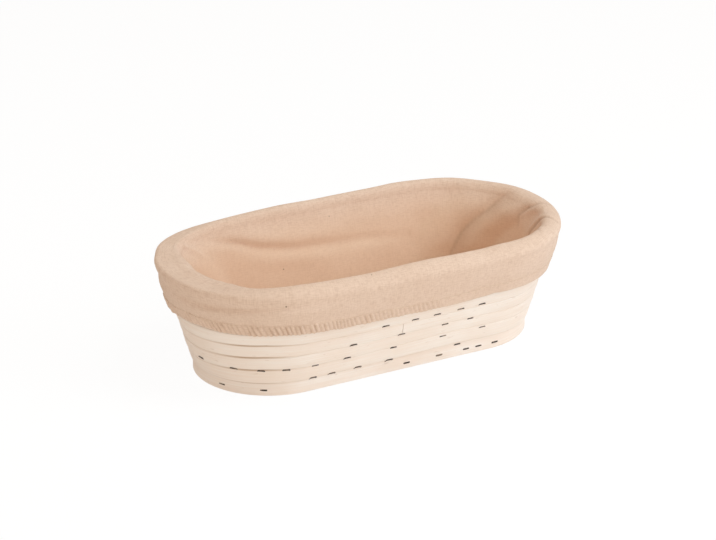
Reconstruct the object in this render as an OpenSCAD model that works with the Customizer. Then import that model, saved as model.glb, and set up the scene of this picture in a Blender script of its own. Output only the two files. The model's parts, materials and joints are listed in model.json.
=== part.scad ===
// Oval proofing basket: cane wound in an oval spiral and stapled turn to turn, with a
// removable cloth liner whose elastic hem folds over the rim.
// Millimetres, +Z up, +X along the basket, origin at the middle of the underside.

/* [Cane] */
// Diameter of the cane
cane_d = 9.4; // [7:0.1:12]
// Gap between neighbouring turns of cane
turn_gap = 0.7; // [0.6:0.1:1.2]
// Depth of the flat that the floor canes stand on
foot_flat = 0.94; // [0.5:0.01:1.5]
// Gap between two lengths of cane that meet end to end
joint_gap = 0.5; // [0.3:0.1:1]

/* [Basket] */
// Distance between the centres of the two round ends
straight_len = 137; // [100:1:220]
// Turns of cane in the floor, between the core canes and the corner turn
floor_turns = 3; // [2:1:5]
// Turns of cane in the wall, above the corner turn
wall_turns = 7; // [6:1:10]
// Lean of the wall from the vertical, in degrees
wall_lean = 16.5; // [8:0.5:22]
// Outward bow of each long side at the rim
side_bow = 2; // [0:0.5:5]
// Wall turn that the upper length of cane starts on
upper_cane_turn = 3; // [2:1:5]
// Place of that start along the front, from the left (0) to the right (1)
upper_cane_start = 0.48; // [0.1:0.01:0.9]

/* [Staples] */
// Length of a staple's crown
crown_len = 5.5; // [4:0.1:8]
// Length of a staple's legs
leg_len = 8; // [6.5:0.1:9]
// Length of the legs that go straight through the corner turn
corner_leg_len = 12.5; // [11.5:0.1:14]
// Width of the flat staple wire
wire_w = 1.1; // [0.8:0.1:1.4]
// Thickness of the flat staple wire
wire_t = 0.7; // [0.5:0.1:0.9]
// Depth that a crown's middle is driven below the wall's face
crown_sink = 0.35; // [0.3:0.05:0.8]
// The same for the crowns that the cuff covers
cuffed_sink = 0.85; // [0.75:0.05:1.1]
// Distance from the middle of the cane down to the crown
crown_drop = 2.7; // [0.8:0.1:3]
// Angle of the legs from the face, in degrees
leg_angle = 52; // [48:1:60]
// Distance that the floor's crowns stay above the underside
crown_clear = 0.1; // [0.05:0.05:0.3]
// Distance from staple to staple along a turn of the wall
wall_staple_pitch = 24; // [16:1:40]
// Distance from staple to staple along a turn of the floor
floor_staple_pitch = 32; // [16:1:48]

/* [Liner] */
// Thickness of the liner cloth
cloth_t = 0.6; // [0.5:0.1:1]
// Gap between the cloth and the canes inside the basket
cloth_gap = 0.5; // [0.4:0.1:1]
// Gap between the cuff and the canes at the rim
cuff_gap = 1.9; // [0.6:0.1:3]
// Gap between the hem and the canes
hem_gap = 0.5; // [0.4:0.1:1]
// Radius of the liner between floor and wall
corner_r = 10; // [6:0.5:16]
// Distance from the corner turn's middle in to the floor seam
seam_in = 16; // [14:0.5:22]
// Gap in the floor seam
seam_gap = 0.1; // [0.05:0.05:0.3]
// Length of the turned-down cuff, from the middle of the rim cane to its lower edge
cuff_len = 25; // [20:0.5:34]
// Height of the turned-up hem
hem_h = 8; // [7:0.5:12]
// Width of the flat elastic in the hem
elastic_w = 5; // [3:0.5:6]
// Thickness of the flat elastic
elastic_t = 0.8; // [0.6:0.1:1.5]
// Room round the elastic in the hem
elastic_gap = 0.1; // [0.1:0.05:0.4]

/* [Hidden] */
cane_r = cane_d / 2;
pitch = cane_d + turn_gap;
rise = pitch * cos(wall_lean);
half_len = straight_len / 2;
// Two core canes lie side by side, and the floor turns go round them.
end_r = pitch * (floor_turns + 1.5);
floor_z = cane_r - foot_flat;
core_y = pitch / 2;
rim_s = wall_turns * pitch;

// Steps of one turn, from the right end's front corner: right end, back, left end, front.
end_steps = 12;
side_steps = 6;
turn_steps = 2 * (end_steps + side_steps);
back_from = end_steps;
left_from = back_from + side_steps;
front_from = left_from + end_steps;
sides = 8;
// A cane is drawn with eight sides, of the same section area as the round cane.
corner_d = cane_d * sqrt(PI / (sides * sin(360 / sides) / 2));
flat_r = corner_d / 2 * cos(180 / sides);

// The winding starts and ends in a taper along the back, where every turn climbs to the next.
taper_steps = 4;
wind_first = left_from - taper_steps;
last_turn = floor_turns + 1 + wall_turns;
wind_last = last_turn * turn_steps + back_from + taper_steps;
// Share of its width that the last end would keep where it tapers out.
end_share = 0.6;
joint_steps = joint_gap / 2 * side_steps / straight_len;
// Turns of the wall over which the swing of its first turn, where it climbs off the floor, dies out.
swing_turns = 3;
// The floor cane ends on the back, where it would climb to the first wall turn.
lower_cane_share = 0.4;
lower_joint = (floor_turns + 1) * turn_steps + back_from + side_steps * lower_cane_share;
upper_joint = (floor_turns + upper_cane_turn) * turn_steps + front_from + side_steps * upper_cane_start;

// Height of a crown's middle that keeps its tilted wire just above the underside.
crown_z = (wire_t * cos(leg_angle) + wire_w * sin(leg_angle)) / 2 + crown_clear;

// Middle of the cloth's thickness from the middle of the canes: inside the wall, at the top of the
// cuff and in the hem's inner layer.
cloth_n = cane_r + cloth_gap + cloth_t / 2;
cuff_n = cane_r + cuff_gap + cloth_t / 2;
turn_up_n = cane_r + hem_gap + cloth_t / 2;
roll_r = (cloth_n + cuff_n) / 2;
roll_n = (cuff_n - cloth_n) / 2;
liner_z = floor_z + cloth_n;
hem_bend = (cloth_t + elastic_t) / 2 + elastic_gap;
hem_n = turn_up_n + 2 * hem_bend;
hem_s = rim_s - cuff_len;
bend_s = hem_s + hem_bend + cloth_t / 2;

cane_colour = [0.93, 0.86, 0.76];
cloth_colour = [0.86, 0.73, 0.61];
steel_colour = [0.35, 0.33, 0.30];
elastic_colour = [0.95, 0.93, 0.88];

floor_rows = [for (k = [1 : floor_turns]) str("floor_staples_", k)];
wall_rows = [for (k = [1 : wall_turns]) str("wall_staples_", k)];

function clamp(x, low, high) = min(max(x, low), high);
function ease(f) = let (c = clamp(f, 0, 1)) c * c * (3 - 2 * c);
function mix(a, b, f) = a + (b - a) * f;
function unit(v) = v / norm(v);

// Outward bow of the long sides at height z, from nothing at the first wall turn.
function bow_at(z) = side_bow * clamp((z - floor_z - rise) / ((wall_turns - 1) * rise), 0, 1);

// Where step i of a turn is: [middle of its curve along X, direction outwards].
function spot(i) =
    let (k = i % turn_steps)
    k <= back_from ? [half_len, -90 + 180 * k / end_steps] :
    k <= left_from ? [half_len - straight_len * (k - back_from) / side_steps, 90] :
    k <= front_from ? [-half_len, 90 + 180 * (k - left_from) / end_steps] :
    [-half_len + straight_len * (k - front_from) / side_steps, 270];

// The point at a whole step i, off mm outside the corner turn's middle, at height z.
function step_point(i, off, z) =
    let (s = spot(i), swell = bow_at(z) * (1 - pow(s[0] / half_len, 2)))
    [s[0] + (end_r + off) * cos(s[1]), (end_r + off + swell) * sin(s[1]), z];

// The same at any part of a step, on the straight line between the whole steps.
function basket_point(i, off, z) =
    let (whole = floor(i))
    mix(step_point(whole, off, z), step_point(whole + 1, off, z), i - whole);

function along_at(i) = let (d = 0.05) unit(basket_point(i + d, 0, floor_z) - basket_point(i - d, 0, floor_z));

// Level of the winding at step i: 0 is the corner turn, below it the floor, above it the wall.
function climb_at(i) = ease((i % turn_steps - back_from) / side_steps);
function level_at(i) = floor(i / turn_steps) + climb_at(i) - (floor_turns + 1);

// Direction from the turn before to the turn at a level: outwards in the floor, up the wall above it.
function facing(level) = (90 - wall_lean) * clamp(level, 0, 1);

// Middle of the cane at a level, as [off, z], never nearer than one pitch to the turn before. Where
// the first wall turn climbs off the floor it swings out round the turn before, and the turns
// above it swing out less and less.
function level_middle(level) =
    level <= 0 ? [pitch * level, floor_z] :
    level <= 1 ? level_middle(level - 1) + turned(pitch, 0, facing(level)) :
    let (turn = ceil(level) - 1, up = facing(1))
    let (swing = level_middle(level - turn) - [0, floor_z])
    wall_spot(turn * pitch + swing * turned(1, 0, up), swing * turned(0, 1, up) * max(1 - turn / swing_turns, 0));

// From a distance on past the turn before, and one out of the basket's face, to [off, z].
function turned(on, out, facing) = on * [cos(facing), sin(facing)] + out * [sin(facing), -cos(facing)];
function wall_spot(s, n) = [0, floor_z] + turned(s, n, 90 - wall_lean);

// The cane at step i: [half of its size on past the turn before, middle, half of its size across],
// tapered at both ends. The end under the liner's roll is pared narrower as well.
function cane_size(i) =
    i < left_from ?
        let (half = flat_r - pitch * (1 - climb_at(i)) / 2)
        [half, level_middle(-floor_turns) + [half - flat_r, 0], flat_r] :
    i > last_turn * turn_steps + back_from ?
        let (under = level_middle(level_at(i) - 1), up = facing(wall_turns))
        let (climbed = (under - level_middle(wall_turns - 1)) * [cos(up), sin(up)])
        let (half = flat_r - climbed / 2)
        [half, under + turned(pitch - flat_r + half, 0, up), mix(end_share * flat_r, flat_r, half / flat_r)] :
    [flat_r, level_middle(level_at(i)), flat_r];

// One ring of the cane: an octagon that faces the turn before, cut flat at the foot.
function cane_ring(i) =
    let (size = cane_size(i), up = facing(level_at(i)), grow = 1 / cos(180 / sides))
    [for (k = [0 : sides - 1])
        let (a = 360 * (k + 0.5) / sides)
        let (p = size[1] + turned(size[0] * grow * cos(a), -size[2] * grow * sin(a), up))
        basket_point(i, p[0], max(p[1], 0))];

function cane_rings(first, last) =
    [for (i = concat([first], [for (k = [floor(first) + 1 : ceil(last) - 1]) k], [last])) cane_ring(i)];

// Least gap between neighbouring turns of one length of cane, between their ring points
// along the line from the middle of one ring to the middle of the next.
function middle(ring) = let (p = cane_size(ring)[1]) basket_point(ring, p[0], p[1]);
function least_gap(first, last) =
    min([for (i = [ceil(first) : floor(last) - turn_steps])
        let (on = unit(middle(i + turn_steps) - middle(i)))
        min([for (p = cane_ring(i + turn_steps)) p * on]) - max([for (p = cane_ring(i)) p * on])]);

function flat(lists) = [for (l = lists) each l];

// Triangles between rings of n points, closed into a loop or not.
function skin(rings, n, loop) =
    let (count = len(rings))
    [for (i = [0 : count - (loop ? 1 : 2)]) for (j = [0 : n - 1])
        let (a = i * n + j, b = i * n + (j + 1) % n)
        let (c = ((i + 1) % count) * n + (j + 1) % n, d = ((i + 1) % count) * n + j)
        each [[a, b, c], [a, c, d]]];

function end_caps(count, n) =
    let (top = (count - 1) * n)
    concat([for (j = [1 : n - 2]) [0, j + 1, j]], [for (j = [1 : n - 2]) [top, top + j, top + j + 1]]);

module wound_cane(first, last) {
    rings = cane_rings(first, last);
    polyhedron(flat(rings), concat(skin(rings, sides, false), end_caps(len(rings), sides)));
}

// An outline in [off, z] carried once round the basket.
module round_basket(outline) {
    rings = [for (i = [0 : turn_steps - 1]) [for (p = outline) step_point(i, p[0], p[1])]];
    polyhedron(flat(rings), skin(rings, len(outline), true));
}

// A strip of cloth of thickness t along a path in [off, z].
function strip(path, t) =
    let (last = len(path) - 1)
    let (side = [for (k = [0 : last])
        let (d = unit(path[min(k + 1, last)] - path[max(k - 1, 0)])) [d[1], -d[0]] * t / 2])
    concat([for (k = [0 : last]) path[k] + side[k]], [for (k = [last : -1 : 0]) path[k] - side[k]]);

// Steps of the round stretches in the cloth's path.
corner_bends = 2;
roll_bends = 6;
hem_bends = 3;

// Path of the cloth, in [off, z]: floor seam, corner, wall, over the rim, cuff, and the hem turned up inside.
function liner_path() =
    let (seam = [-seam_in, liner_z])
    let (turn = 90 - wall_lean)
    let (meet_s = cloth_n * (1 - sin(wall_lean)) / cos(wall_lean))
    let (corner = wall_spot(meet_s, -cloth_n))
    let (bend = corner + [-corner_r * tan(turn / 2), corner_r])
    concat(
        [seam],
        [for (k = [0 : corner_bends]) let (a = -90 + turn * k / corner_bends) bend + corner_r * [cos(a), sin(a)]],
        [for (k = [0.5 : roll_bends])
            let (a = 180 - 180 * k / roll_bends, r = roll_r / cos(90 / roll_bends))
            wall_spot(rim_s + r * sin(a), roll_n + r * cos(a))],
        [wall_spot(hem_s + hem_h, hem_n)],
        [for (k = [0 : hem_bends])
            let (a = -180 * k / hem_bends) wall_spot(bend_s + hem_bend * sin(a), turn_up_n + hem_bend * (1 + cos(a)))],
        [wall_spot(hem_s + hem_h - cloth_t, turn_up_n)]
    );

module core_cane(y) {
    color(cane_colour)
    intersection() {
        translate([-half_len, y, floor_z]) rotate([0, 90, 0]) cylinder(d = cane_d, h = straight_len, $fn = 48);
        translate([-half_len, y - cane_d, 0]) cube([straight_len, 2 * cane_d, 2 * cane_d]);
    }
}

module core_cane_front() core_cane(-core_y);

module core_cane_back() core_cane(core_y);

module floor_cane() color(cane_colour) wound_cane(wind_first, lower_joint - joint_steps);

module lower_wall_cane() color(cane_colour) wound_cane(lower_joint + joint_steps, upper_joint - joint_steps);

module upper_wall_cane() color(cane_colour) wound_cane(upper_joint + joint_steps, wind_last);

// One staple of flat wire: its crown along X at the origin, its legs down -Z.
module staple(leg_len) {
    c = crown_len / 2;
    rotate([90, 0, 0]) linear_extrude(height = wire_w, center = true) polygon([
        [-c, wire_t / 2], [-c, -leg_len], [wire_t - c, -leg_len], [wire_t - c, -wire_t / 2],
        [c - wire_t, -wire_t / 2], [c - wire_t, -leg_len], [c, -leg_len], [c, wire_t / 2]
    ]);
}

// A staple with its crown at a point, along one direction, and its legs along another.
module staple_at(point, along, legs, leg_len = leg_len) {
    up = -unit(legs);
    across = cross(up, along);
    multmatrix([for (k = [0 : 2]) [along[k], across[k], up[k], point[k]]]) staple(leg_len);
}

// A staple through the turn at step i into the turn before it: from the outside in the wall, from
// below in the floor, and straight in through the corner turn.
module turn_staple(i) {
    level = level_at(i);
    up = facing(level);
    corner = level == 0;
    sink = level * pitch > hem_s ? cuffed_sink : crown_sink;
    crown = level_middle(level) + (
        corner ? [flat_r, 0] :
        turned(-crown_drop, level > 0 ? cane_r - sink : floor_z - crown_z, up)
    );
    legs = corner ? [-1, 0] : turned(-sin(leg_angle), -cos(leg_angle), up);
    along = along_at(i);
    staple_at(
        basket_point(i, crown[0], crown[1]), along,
        [along[1] * legs[0], -along[0] * legs[0], legs[1]],
        corner ? corner_leg_len : leg_len
    );
}

// Step of the winding at a level, d mm along its turn from the front's left end. A turn runs from
// the back, where it climbs, round the left end, the front and the right end.
function step_along(level, d) =
    let (arc = PI * (end_r + level_middle(level)[0]))
    (floor_turns + level) * turn_steps + (
        d < -arc ? back_from + side_steps * (d + arc + straight_len) / straight_len :
        d < 0 ? left_from + end_steps * (d + arc) / arc :
        d < straight_len ? front_from + side_steps * d / straight_len :
        turn_steps + end_steps * (d - straight_len) / arc
    );

// Places of the staples that show round the front, in shares of the straight length from its left
// end, from the corner turn up to the turn under the cuff.
front_marks = [
    [-0.38, -0.19, 0.54, 0.72, 0.87, 0.94, 1.03],
    [0.03, 0.13, 0.27, 0.44, 0.82],
    [-0.53, -0.345, -0.22, -0.11, 0.03, 0.2, 0.45, 0.72, 0.94],
    [0.22, 0.48, 0.72, 0.86],
    [0.38, 0.54, 0.66, 0.79, 0.91]
];

// Share of each round end, from the front, that those marks cover.
left_marked = 0.68;
right_marked = 0.4;

// Where each level's other staples start along the front, in shares of their pitch, from the corner turn up.
row_starts = [0.1, 0.55, 0.15, 0.25, 0.15, 0.6, 0.35, 0.8];

// Staples of the turn at one level, a little unevenly spaced where they aren't marked. The first turn
// of the floor and of the wall, and the corner turn, have none on the back, where they climb.
module staple_row(level, gap) {
    arc = PI * (end_r + level_middle(level)[0]);
    first = -arc - (level == 0 || level == 1 || level == 1 - floor_turns ? 0 : straight_len) + crown_len;
    last = straight_len + arc - crown_len;
    start = row_starts[max(level, 0) % len(row_starts)] * gap;
    low = ceil((first - start) / gap + 0.2);
    high = floor((last - start) / gap - 0.2);
    uneven = rands(-0.15, 0.15, high - low + 1, floor_turns + level);
    marks = level < 0 || level >= len(front_marks) ? [] : front_marks[level];
    marked = len(marks) > 0;
    from = marked ? -left_marked * arc : straight_len;
    to = marked ? straight_len + right_marked * arc : straight_len;
    color(steel_colour) {
        for (k = [low : high])
            let (d = start + (k + uneven[k - low]) * gap)
            if (d < from || d > to) turn_staple(step_along(level, d));
        for (share = marks) turn_staple(step_along(level, share * straight_len));
    }
}

module floor_staple_row(k) staple_row(k - floor_turns, k == floor_turns ? wall_staple_pitch : floor_staple_pitch);

module wall_staple_row(k) staple_row(k, wall_staple_pitch);

// Staples from below through one core cane into the other, and through the first floor turn into them.
module core_staples() {
    core_legs = [0, -sin(leg_angle), cos(leg_angle)];
    color(steel_colour) {
        for (share = [-0.7, 0, 0.7]) staple_at([share * half_len, core_y - crown_drop, crown_z], [1, 0, 0], core_legs);
        for (k = [1 : side_steps - 1]) turn_staple(front_from + k - 0.5);
        for (k = [0.3, side_steps - 0.3]) turn_staple((k < 1 ? turn_steps : 0) + back_from + k);
    }
}

module liner_floor() {
    outline = [for (i = [0 : turn_steps - 1]) let (p = step_point(i, -seam_in - seam_gap, liner_z)) [p[0], p[1]]];
    color(cloth_colour) translate([0, 0, liner_z - cloth_t / 2]) linear_extrude(height = cloth_t) polygon(outline);
}

module liner_side() color(cloth_colour) round_basket(strip(liner_path(), cloth_t));

// Flat elastic in the hem, between the two layers of cloth.
module hem_elastic() {
    n = turn_up_n + cloth_t / 2 + elastic_gap;
    color(elastic_colour) round_basket([
        wall_spot(bend_s, n), wall_spot(bend_s, n + elastic_t),
        wall_spot(bend_s + elastic_w, n + elastic_t), wall_spot(bend_s + elastic_w, n)
    ]);
}

echo(str("least gap, floor cane: ", least_gap(wind_first, lower_joint), " mm"));
echo(str("least gap, lower wall cane: ", least_gap(lower_joint, upper_joint), " mm"));
echo(str("least gap, upper wall cane: ", least_gap(upper_joint, wind_last), " mm"));

core_cane_front();
core_cane_back();
floor_cane();
lower_wall_cane();
upper_wall_cane();
core_staples();
for (k = [1 : floor_turns]) floor_staple_row(k);
for (k = [1 : wall_turns]) wall_staple_row(k);
liner_floor();
liner_side();
hem_elastic();
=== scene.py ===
import json
import math

import bmesh
import bpy
import numpy as np
from mathutils import Matrix, Vector
from mathutils.bvhtree import BVHTree

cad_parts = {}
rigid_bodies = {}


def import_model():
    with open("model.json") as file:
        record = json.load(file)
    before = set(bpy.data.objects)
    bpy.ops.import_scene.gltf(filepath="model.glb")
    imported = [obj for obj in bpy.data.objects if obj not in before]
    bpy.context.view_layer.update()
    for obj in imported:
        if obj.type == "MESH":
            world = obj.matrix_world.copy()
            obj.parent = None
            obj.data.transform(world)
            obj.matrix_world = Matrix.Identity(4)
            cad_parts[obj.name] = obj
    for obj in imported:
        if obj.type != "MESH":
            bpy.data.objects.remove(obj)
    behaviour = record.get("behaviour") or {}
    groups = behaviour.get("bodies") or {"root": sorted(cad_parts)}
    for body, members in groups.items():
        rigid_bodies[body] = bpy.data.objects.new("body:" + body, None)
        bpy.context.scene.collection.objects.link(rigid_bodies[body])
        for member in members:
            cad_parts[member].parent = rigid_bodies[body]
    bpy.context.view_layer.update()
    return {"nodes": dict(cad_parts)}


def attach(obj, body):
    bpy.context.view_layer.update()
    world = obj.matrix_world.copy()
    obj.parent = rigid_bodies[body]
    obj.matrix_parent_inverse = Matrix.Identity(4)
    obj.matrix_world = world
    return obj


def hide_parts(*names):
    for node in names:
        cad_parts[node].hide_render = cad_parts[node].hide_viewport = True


for stray in list(bpy.data.objects):
    bpy.data.objects.remove(stray)

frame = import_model()
millimetres = 1000   # in a metre
print("frame loaded:", len(frame["nodes"]), "nodes")


# sockets, nodes and trees

def pick(sockets, name):
    if isinstance(name, int):
        return sockets[name]
    for socket in sockets:
        if socket.identifier == name:
            return socket
    return next(socket for socket in sockets if socket.name == name and socket.enabled)


def operator(operation, swapped=False):
    def apply(wire, *other):
        return wire.graph.maths(operation, *((*other, wire) if swapped else (wire, *other)))
    return apply


class Wire:
    # a node's output that Python's operators work on
    def __init__(self, graph, socket):
        self.graph = graph
        self.socket = socket

    def out(self, name):
        return Wire(self.graph, pick(self.socket.node.outputs, name))

    def __neg__(self):
        return self * -1

    __add__, __radd__ = operator("ADD"), operator("ADD", True)
    __sub__, __rsub__ = operator("SUBTRACT"), operator("SUBTRACT", True)
    __mul__, __rmul__ = operator("MULTIPLY"), operator("MULTIPLY", True)
    __lt__, __gt__ = operator("LESS_THAN"), operator("GREATER_THAN")
    __truediv__ = operator("DIVIDE")
    __abs__ = operator("ABSOLUTE")


class Graph:
    def __init__(self, tree):
        self.tree = tree

    def node(self, kind, inputs=None, out=0, **settings):
        made = self.tree.nodes.new(kind)
        for name, value in settings.items():
            setattr(made, name, value)
        for name, value in (inputs or {}).items():
            socket = pick(made.inputs, name)
            if isinstance(value, Wire):
                self.tree.links.new(value.socket, socket)
            else:
                socket.default_value = value
        return Wire(self, pick(made.outputs, out)) if made.outputs else made

    def maths(self, operation, *terms):
        return self.node("ShaderNodeMath", dict(enumerate(terms)), operation=operation)

    def vector(self, x, y, z):
        return self.node("ShaderNodeCombineXYZ", {0: x, 1: y, 2: z})

    def split(self, value):
        first = self.node("ShaderNodeSeparateXYZ", {0: value})
        return first, first.out(1), first.out(2)

    def mixColour(self, share, first, second, blend="MIX"):
        inputs = {"Factor_Float": share, "A_Color": first, "B_Color": second}
        return self.node("ShaderNodeMix", inputs, "Result_Color", data_type="RGBA", blend_type=blend)

    def smooth(self, value, low, high):
        # 0 below low, 1 above high, eased between them
        inputs = {"Value": value, "From Min": low, "From Max": high}
        return self.node("ShaderNodeMapRange", inputs, interpolation_type="SMOOTHSTEP")

    def noise(self, place, detail, roughness=0.5, scale=1.0):
        return self.node("ShaderNodeTexNoise", {
            "Vector": place, "Scale": scale, "Detail": detail, "Roughness": roughness})

    def bump(self, height, strength, distance):
        return self.node("ShaderNodeBump", {
            "Strength": strength, "Distance": distance, "Height": height})

    def attribute(self, name, out="Fac"):
        # a value of the mesh in a finish
        return self.node("ShaderNodeAttribute", out=out, attribute_name=name)

    def named(self, name, kind="FLOAT_VECTOR"):
        # a value of the mesh in a geometry tree
        return self.node("GeometryNodeInputNamedAttribute", {"Name": name}, data_type=kind)

    def rounded(self, curve, radius, count):
        inputs = {"Curve": curve, "Count": count, "Radius": radius, "Limit Radius": True}
        return self.node("GeometryNodeFilletCurve", inputs, mode="POLY")

    def roundedBar(self, width, height, radius, count):
        bar = self.node("GeometryNodeCurvePrimitiveQuadrilateral", {"Width": width, "Height": height})
        return self.rounded(bar, radius, count)

    def facing(self, curve, normal):
        return self.node("GeometryNodeSetCurveNormal", {"Curve": curve, "Normal": normal}, mode="FREE")

    def sweep(self, path, section, **more):
        return self.node("GeometryNodeCurveToMesh", {
            "Curve": path, "Profile Curve": section, "Fill Caps": True, **more})

    def move(self, geometry, **where):
        return self.node("GeometryNodeSetPosition", {"Geometry": geometry, **where})

    def place(self, points, instance, rotation):
        return self.node("GeometryNodeInstanceOnPoints", {
            "Points": points, "Instance": instance, "Rotation": rotation})


def blankGraph(owner):
    owner.use_nodes = True
    owner.node_tree.nodes.clear()
    return Graph(owner.node_tree)


def tint(red, green, blue):
    # screen colour, 0 to 255, as the linear colour that a socket takes
    def linear(c):
        c /= 255
        return c / 12.92 if c <= 0.04045 else ((c + 0.055) / 1.055) ** 2.4
    return (linear(red), linear(green), linear(blue), 1.0)


def newFinish(name, constants):
    finish = bpy.data.materials.new(name)
    graph = blankGraph(finish)
    shader = graph.node("ShaderNodeBsdfPrincipled", constants)
    graph.node("ShaderNodeOutputMaterial", {"Surface": shader})
    return finish, graph, shader.socket.node


def feed(shader, wires):
    for name, wire in wires.items():
        wire.graph.tree.links.new(wire.socket, shader.inputs[name])


# finishes

caneLook = {
    "pale": tint(249, 239, 229),
    "warm": tint(244, 227, 212),
    # dark brown of the flecks, and of the painted shade along the gaps between turns
    "edge": tint(176, 138, 100),
    "roughness": 0.55,
    # noise along the cane and across it, per metre
    "fibres": (14, 1500),
    "lengths": (22, 60),
    "flecks": (160, 700),
    "paintedGapShadeHeights": (0.0038, 0.0051),   # where the painted shade of the gaps starts and is full
}


def makeCaneFinish():
    finish, graph, shader = newFinish("paleCane", {"Specular IOR Level": 0.35})
    along = graph.attribute("along")
    across, high, _ = graph.split(graph.attribute("ring", "Vector"))

    def grain(name, detail, roughness=0.5):
        length, width = caneLook[name]
        return graph.noise(graph.vector(along * length, across * width, high * width), detail, roughness)

    fibres, lengths, flecks = grain("fibres", 3.0, 0.6), grain("lengths", 2.0), grain("flecks", 1.0)
    share = graph.smooth(fibres * 0.55 + lengths * 0.45, 0.36, 0.66)
    colour = graph.mixColour(share, caneLook["warm"], caneLook["pale"])
    colour = graph.mixColour(graph.smooth(flecks, 0.7, 0.78) * 0.2, colour, caneLook["edge"])
    # gaps between turns darkened: partly the canes' own darker sides, partly painted shade that is
    # strongest where the wall faces away from the light; not along the free edge of the last turn
    bare = (high < 0.0) * (1 - graph.attribute("topped"))
    edge = graph.smooth(abs(high), *caneLook["paintedGapShadeHeights"]) * graph.attribute("paintedGapShade") * (1 - bare)
    feed(shader, {
        "Base Color": graph.mixColour(edge * 0.9, colour, caneLook["edge"]),
        "Roughness": caneLook["roughness"] + 0.2 * fibres,
        "Normal": graph.bump(fibres, 0.25, 0.0003),
    })
    return finish


clothLook = {
    "plain": tint(237, 212, 192),
    "deep": tint(227, 199, 177),
    # painted shade: the cloth inside the basket is drawn darker and warmer
    "inside": tint(235, 200, 170),
    "insideTint": (1.0, 0.985, 0.955, 1.0),
    "rim": 0.082,         # distance up the cloth where the painted shade inside the basket ends
    "rimFade": 0.03,
    "fleck": tint(128, 96, 72),
    "shade": tint(190, 152, 124),
    # colour of the painted shade along the creases and in the grooves between the hem's ribs
    "paintedShade": tint(166, 126, 96),
    "thread": 0.0005,     # pitch of the weave
    "fleckCell": 0.011,
}


def clothColour(graph, u, v):
    def threads(countU, countV, layer, detail=2.0):
        return graph.noise(graph.vector(u * countU, v * countV, layer), detail)

    slubs, slubsAcross = threads(90, 1100, 0.0), threads(1100, 90, 3.0)
    blotch = threads(45, 45, 7.0, 3.0)
    weft, warp = threads(260, 1500, 1.0), threads(1500, 260, 5.0)
    share = graph.smooth(slubs * 0.35 + slubsAcross * 0.35 + blotch * 0.3, 0.3, 0.7)
    colour = graph.mixColour(share, clothLook["deep"], clothLook["plain"])
    for thread, low, high, strength in (
            (weft, 0.42, 0.7, 0.24), (warp, 0.42, 0.7, 0.17), (slubs, 0.52, 0.74, 0.16)):
        colour = graph.mixColour(graph.smooth(thread, low, high) * strength, colour, clothLook["shade"])
    cell = clothLook["fleckCell"]
    spots = graph.node("ShaderNodeTexVoronoi", {
        "Vector": graph.vector(u / cell, v / cell, 0.5), "Scale": 1.0, "Randomness": 1.0})
    chance = graph.node("ShaderNodeSeparateColor", {0: spots.out("Color")})
    mark = (spots < 0.045 * chance.out(1) + 0.015) * (chance > 0.6)
    return graph.mixColour(mark * 0.8, colour, clothLook["fleck"]), slubs + slubsAcross


def makeClothFinish():
    finish, graph, shader = newFinish("cottonLining", {
        "Roughness": 0.9, "Specular IOR Level": 0.15, "Sheen Weight": 0.12, "Sheen Roughness": 0.5})
    u, v, _ = graph.split(graph.node("ShaderNodeUVMap", uv_map="cloth"))
    colour, slubs = clothColour(graph, u, v)
    # painted shade: the cloth below the rim, inside the basket, darker and warmer
    below = graph.smooth(v, clothLook["rim"], clothLook["rim"] - clothLook["rimFade"])
    colour = graph.mixColour(below * 0.4, colour, clothLook["inside"])
    colour = graph.mixColour(below, colour, clothLook["insideTint"], "MULTIPLY")
    # painted shade along the creases and in the grooves between the hem's ribs
    paintedShade = graph.smooth(graph.attribute("paintedShade"), 0.0, 1.0)
    turn = 2 * math.pi / clothLook["thread"]
    weave = graph.maths("SINE", u * turn) * graph.maths("SINE", v * turn)
    feed(shader, {
        "Base Color": graph.mixColour(paintedShade * 0.4, colour, clothLook["paintedShade"]),
        "Normal": graph.bump(weave * 0.5 + slubs, 0.3, 0.0002),
    })
    return finish


def makeThreadFinish(name, colour, shade):
    finish, graph, shader = newFinish(name, {"Roughness": 0.85, "Specular IOR Level": 0.15})
    fuzz = graph.noise(graph.node("ShaderNodeTexCoord", out="Object"), 2.0, scale=2200.0)
    feed(shader, {
        "Base Color": graph.mixColour(graph.smooth(fuzz, 0.35, 0.65), shade, colour),
        "Normal": graph.bump(fuzz, 0.3, 0.0001),
    })
    return finish


def makeStapleFinish():
    finish, graph, shader = newFinish("dullSteel", {"Specular IOR Level": 0.5})
    tarnish = graph.noise(graph.node("ShaderNodeTexCoord", out="Object"), 3.0, scale=420.0)
    worn = graph.smooth(tarnish, 0.45, 0.62)
    feed(shader, {
        "Base Color": graph.mixColour(worn, tint(62, 49, 39), tint(128, 110, 92)),
        "Metallic": 0.1 + 0.2 * worn,
        "Roughness": 0.7 - 0.2 * worn,
    })
    return finish


paleCane = makeCaneFinish()
cottonLining = makeClothFinish()
cottonThread = makeThreadFinish("cottonThread", tint(236, 214, 194), tint(214, 186, 162))
elasticWeave = makeThreadFinish("elasticWeave", tint(238, 232, 220), tint(214, 206, 190))
dullSteel = makeStapleFinish()
print("finishes made")


# the basket's oval, as in the part's source

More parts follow.
